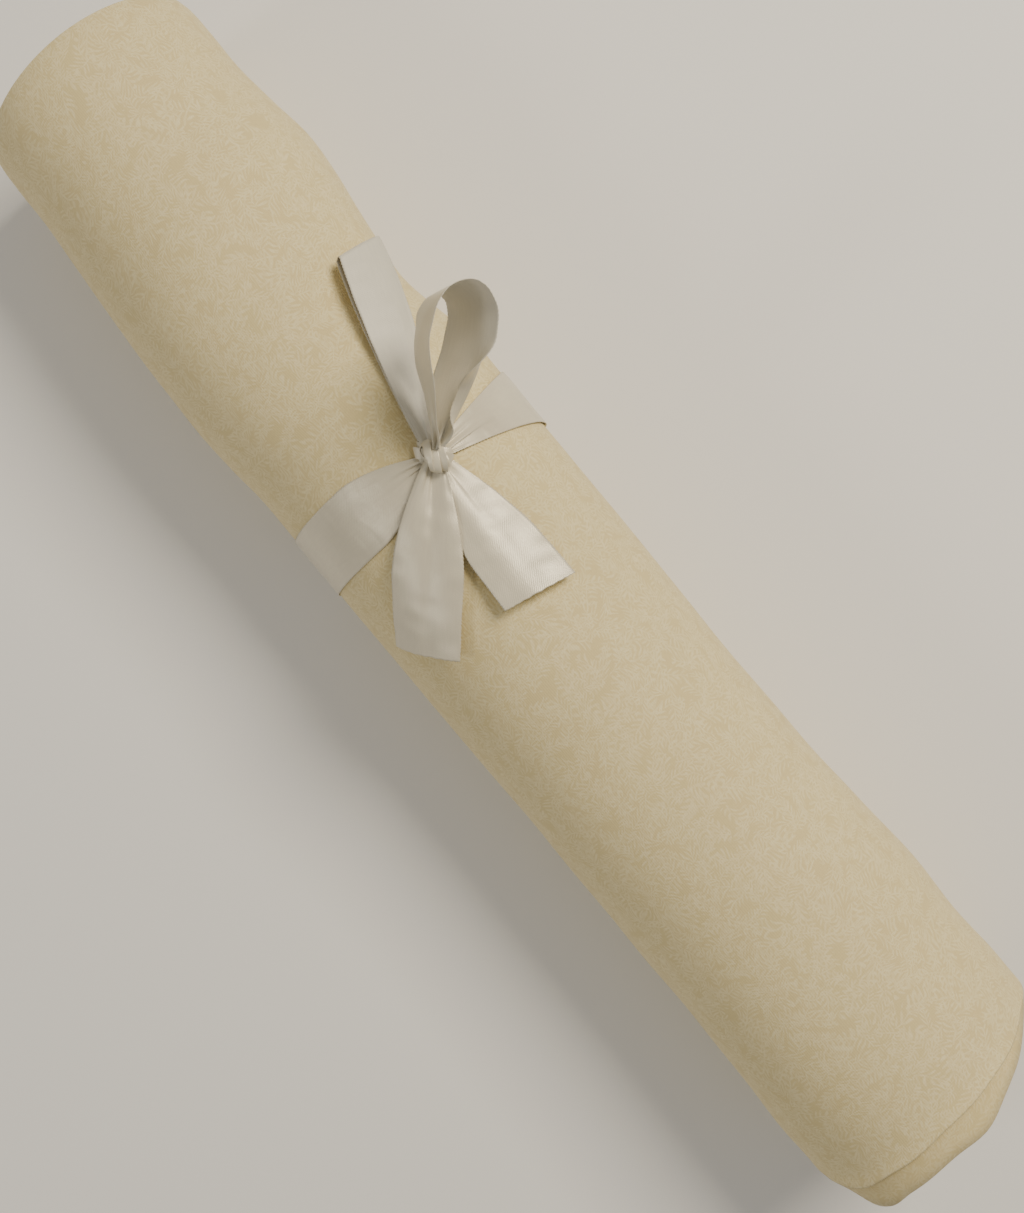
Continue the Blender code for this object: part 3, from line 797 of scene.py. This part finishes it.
TAIL_SPREAD = 46.0 * MM        # a tail is at its full width this far from the knot
LOWER_HEADING, LOWER_LENGTH = math.radians(-1.5), 66.0 * MM
UPPER_HEADING, UPPER_LENGTH = math.radians(-41.7), 76.0 * MM

points, cloth_map = tail(LOWER_HEADING, LOWER_LENGTH, math.radians(10.0), base=1.3 * MM,
                         lift=4.2 * MM, phase=0.9, arch=0.8 * MM, crease_depth=0.4 * MM)
lower_tail = ribbon_sheet("ribbon_tail_lower", points, cloth_map, RIBBON_THICKNESS,
                          [satin_back, satin_face])
knot_blend(lower_tail)
finish_ribbon("ribbon_lower_tail")

points, cloth_map = tail(UPPER_HEADING, UPPER_LENGTH, math.radians(5.0), base=2.7 * MM,
                         lift=2.8 * MM, phase=2.6, arch=1.7 * MM, crease_depth=1.0 * MM)
upper_tail = ribbon_sheet("ribbon_tail_upper", points, cloth_map, RIBBON_THICKNESS,
                          [satin_back, satin_face])
knot_blend(upper_tail)
finish_ribbon("ribbon_upper_tail")

# %% [markdown]
# The flat loop goes out along the cloth, folds over and comes back on top of itself, matt side up.
# Its fold lies square to the roll, so the strip is skewed there, and the third of it that hangs
# over the roll's side turns down.

# %% The flat loop
FLAT_HEADING, FLAT_LENGTH = math.radians(156.8), 86.0 * MM
FLAT_SKEW = math.radians(-23.2)
FLAT_DEPTH = 4.0 * MM          # from the lower strand to the upper one at the fold
FLAT_GAP = 1.5 * MM            # and at the knot
FLAT_SPREAD = 88.0 * MM        # both strands are at their full width this far from the knot
FLAT_STRAND = 0.46             # share of the loop that is one strand; the fold has the rest


def flat_loop():
    """Loop as a grid: t runs out along the lower strand, round the fold and back."""
    t = np.linspace(0.0, 1.0, 380)[:, None]
    side = across_strip()
    bend = FLAT_DEPTH / 2.0
    straight = FLAT_LENGTH + 5.0 * MM - bend
    swing = np.clip((t - FLAT_STRAND) / (1.0 - 2.0 * FLAT_STRAND), 0.0, 1.0) * math.pi
    out = straight * np.clip(t / FLAT_STRAND, 0.0, 1.0)
    back = straight * np.clip((1.0 - t) / FLAT_STRAND, 0.0, 1.0)
    distance = np.minimum(out, back) + bend * np.sin(swing)
    half = half_width(distance, FLAT_SPREAD)
    upper = smooth_step(swing / math.pi)
    gap = FLAT_GAP + (FLAT_DEPTH - FLAT_GAP) * smooth_step(distance / straight)
    rise = 1.6 * MM * np.exp(-distance / (12.0 * MM)) + upper * 1.8 * MM * np.exp(-distance / (10.0 * MM))
    side = toothed(side, distance, half)
    down = np.maximum(-side - 0.2, 0.0) * smooth_step(distance / (30.0 * MM))
    turned_down = -5.0 * MM * down ** 1.3
    gather = pleats(distance, side, (3.0, 1.1), (0.7 * MM, 0.8 * MM), (9.0 * MM, 26.0 * MM), 1.2)
    gather = gather + wrinkles(distance, side, 0.14 * MM, 2.0)
    height = 1.3 * MM + rise + gap * (1.0 - np.cos(swing)) / 2.0 + (0.5 + 0.5 * upper) * gather
    height = np.maximum(height + upper * turned_down, 1.0 * MM + 0.8 * MM * upper)
    run = distance * (1.0 + side * half * math.tan(FLAT_SKEW) / FLAT_LENGTH)
    points = from_knot(FLAT_HEADING, run, leaning(side + 0.22 * down, half, gather), height)
    length = 2.0 * FLAT_LENGTH
    return points, ribbon_map(side, t * length), length


points, cloth_map, length = flat_loop()
flat_piece = ribbon_sheet("ribbon_loop_flat", points, cloth_map, RIBBON_THICKNESS,
                          [satin_back, satin_face])
knot_blend(flat_piece)
finish_ribbon("ribbon_flat_loop")

# %% [markdown]
# The tall loop stands up from the knot and leans over the +Y side. It is a teardrop of ribbon whose
# strands are twisted against each other: the near one shows its glossy outside, and the far one its
# matt inside.

# %% The tall loop
TALL_HEADING, TALL_ELEVATION = math.radians(132.8), math.radians(31.3)
TALL_ROLL, TALL_LAY, TALL_TWIST = math.radians(60.0), math.radians(-19.9), math.radians(32.5)
TALL_LENGTH, TALL_OPENING, TALL_SPREAD = 63.7 * MM, 15.1 * MM, 31.5 * MM
TALL_CLOSING = math.radians(20.0)
TALL_FUNNEL = 0.63             # how far one edge stands out past the other at the tip
# one edge of the first strand is turned over, from near the knot to two thirds of the way up
HEM_AT, HEM_TURN = 0.62, 2.3
HEM_START, HEM_RISE = 4.0 * MM, 16.0 * MM
HEM_END, HEM_FALL = 44.0 * MM, 20.0 * MM


def turned(vector, axis, angle):
    """A vector turned about an axis, by its parts along the axis, across it and square to both."""
    return (vector * math.cos(angle) + np.cross(axis, vector) * math.sin(angle)
            + axis * np.dot(axis, vector) * (1.0 - math.cos(angle)))


def tall_loop():
    """Loop as a grid: t runs up one strand, over the tip and down the other."""
    level = math.cos(TALL_ELEVATION)
    along = np.array((level * math.cos(TALL_HEADING), level * math.sin(TALL_HEADING),
                      math.sin(TALL_ELEVATION)))
    flat = unit(np.cross(along, (0.0, 0.0, 1.0)))
    across = turned(flat, along, -TALL_ROLL)
    apart = np.cross(across, along)
    base = KNOT + along * 3.0 * MM
    t = np.linspace(TALL_CLOSING, TURN - TALL_CLOSING, 340)[:, None]
    side = across_strip()
    near = (1.0 - math.cos(TALL_CLOSING)) / 2.0
    reach = ((1.0 - np.cos(t)) / 2.0 - near) / (1.0 - near) * TALL_LENGTH
    gap = TALL_OPENING * np.sin(t) * np.sin(t / 2.0) ** 2
    half = half_width(reach, TALL_SPREAD)
    side = toothed(side, reach, half)
    twist = TALL_LAY + TALL_TWIST * smooth_step((t / TURN - 0.3) / 0.4)
    funnel = TALL_FUNNEL * np.sin(t / 2.0) ** 2 * (1.0 - 0.25 * np.cos(t / 2.0))
    width = across * np.cos(twist)[..., None] + apart * np.sin(twist)[..., None]
    width = unit(width + along * funnel[..., None])
    normal = unit(np.cross(width, along))
    gather = pleats(reach, side, (3.1, 1.2), (0.8 * MM, 1.2 * MM), (9.0 * MM, 24.0 * MM), 0.5)
    gather = gather + wrinkles(t / TURN * 2.0 * TALL_LENGTH, side, 0.25 * MM, 1.0)
    turn_over = HEM_TURN * smooth_step((math.pi - t) / 0.6)
    turn_over = turn_over * smooth_step((reach - HEM_START) / HEM_RISE)
    turn_over = turn_over * smooth_step((HEM_END - reach) / HEM_FALL)
    past = np.maximum(side - HEM_AT, 0.0)
    folded = np.minimum(side, HEM_AT) + past * np.cos(turn_over)
    points = base + along * reach[..., None] - apart * gap[..., None]
    points = points + width * leaning(folded, half, gather)[..., None]
    points = points + normal * (gather + past * half * np.sin(turn_over))[..., None]
    length = 2.25 * TALL_LENGTH
    return points, ribbon_map(side, t / TURN * length), length, along


points, cloth_map, length, tall_along = tall_loop()
tall_piece = ribbon_sheet("ribbon_loop_tall", points, cloth_map, RIBBON_THICKNESS,
                          [satin_back, satin_face])
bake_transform(tall_piece)
finish_ribbon("ribbon_tall_loop")

# %% [markdown]
# The knot is two narrow gathered turns. The half knot lies on the cloth along the roll's girth,
# and the wrap goes round the bundle of loops and tails above it.


# %% The knot
KNOT_FOLD = 0.55 * MM          # height of the knot's pleats
KNOT_FOLD_SLOW = 0.5 * MM      # and of the slower waves under them
KNOT_PLEAT_LEAN = 1.6 * MM
HALF_KNOT_RAISE = 0.7 * MM     # its middle is this far over its solid's
WRAP_SHIFT = 0.7 * MM          # its middle is this far from its solid's, towards the tails


def knot_turn(centre, axis, up, width, radii, sweep, phase):
    """A gathered strap bent into a closed ring: an ellipse carried along its axis, with pleats.

    Each pleat is a sine wave across the strap that leans over sideways, so that 28 mm of ribbon
    goes into a few millimetres. The sweep carries the strap along its axis as it goes round.
    """
    axis = unit(np.array(axis, float))
    up = unit(np.array(up, float) - axis * np.dot(axis, up))
    out = np.cross(up, axis)
    angle = np.linspace(0.0, TURN, 181)[:-1][:, None]
    side = np.linspace(-1.0, 1.0, 97)[None, :]
    wave = np.sin(3.2 * math.pi * side + phase + 0.9 * np.sin(angle) + 0.5 * np.sin(2.0 * angle + phase))
    slow = np.sin(1.3 * math.pi * side + 2.0 * phase + np.sin(angle + 1.0))
    fold = KNOT_FOLD * wave + KNOT_FOLD_SLOW * slow
    crown = 1.0 - 0.42 * side ** 4
    wide = (radii[0] * crown + fold) * np.cos(angle)
    high = (radii[1] * crown + fold) * np.sin(angle)
    pinch = 1.0 + 0.16 * np.cos(2.0 * angle + phase)
    shift = side * width / 2.0 * pinch + KNOT_PLEAT_LEAN * wave * (1.0 - side ** 6) + sweep * np.cos(angle)
    points = centre + out * wide[..., None] + up * high[..., None] + axis * shift[..., None]
    middle = points.mean(axis=1)
    length = np.linalg.norm(middle - np.roll(middle, 1, axis=0), axis=-1).sum()
    return points, ribbon_map(side, angle * radii[0]), length


def ring_sheet(name, points, cloth_map, thickness, materials):
    """Closed ring of ribbon: a right side and a wrong side, joined along both edges."""
    closed = np.concatenate([points[-1:], points, points[:1]])
    normal = unit(np.cross(np.gradient(points, axis=1), np.gradient(closed, axis=0)[1:-1]))
    half = normal * thickness / 2.0
    section = np.concatenate([points + half, (points - half)[:, ::-1]], axis=1)
    maps = np.concatenate([cloth_map, cloth_map[:, ::-1]], axis=1)
    rows, columns = section.shape[:2]
    faces = quads(rows + 1, columns, wrap=True) % (rows * columns)
    return make_mesh(name, section.reshape(-1, 3), faces, maps.reshape(-1, 2),
                     np.zeros(len(faces)), materials)


outward = np.array((0.0, math.sin(KNOT_ANGLE), math.cos(KNOT_ANGLE)))
girth = np.array((0.0, math.cos(KNOT_ANGLE), -math.sin(KNOT_ANGLE)))
lengthwise = np.array((1.0, 0.0, 0.0))
half_low, half_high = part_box("ribbon_half_knot")
half_centre = np.array((half_low + half_high) / 2.0) + HALF_KNOT_RAISE * outward

bundle = unit(-0.771 * lengthwise + 0.637 * girth)     # the loops leave this way, the tails the other
crosswise = np.cross(bundle, outward)

points, cloth_map, length = knot_turn(half_centre, bundle, outward, 7.0 * MM,
                                      (7.0 * MM, 2.4 * MM), 1.4 * MM, 0.6)
half_knot = ring_sheet("ribbon_half_knot_turn", points, cloth_map, RIBBON_THICKNESS, [satin_face])
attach(half_knot, "tie")
finish_ribbon("ribbon_half_knot")

points, cloth_map, length = knot_turn(KNOT - WRAP_SHIFT * bundle, crosswise, outward, 7.8 * MM,
                                      (6.0 * MM, 3.3 * MM), -1.5 * MM, 2.2)
wrap = ring_sheet("ribbon_knot_wrap_turn", points, cloth_map, RIBBON_THICKNESS, [satin_face])
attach(wrap, "tie")
finish_ribbon("ribbon_knot_wrap")
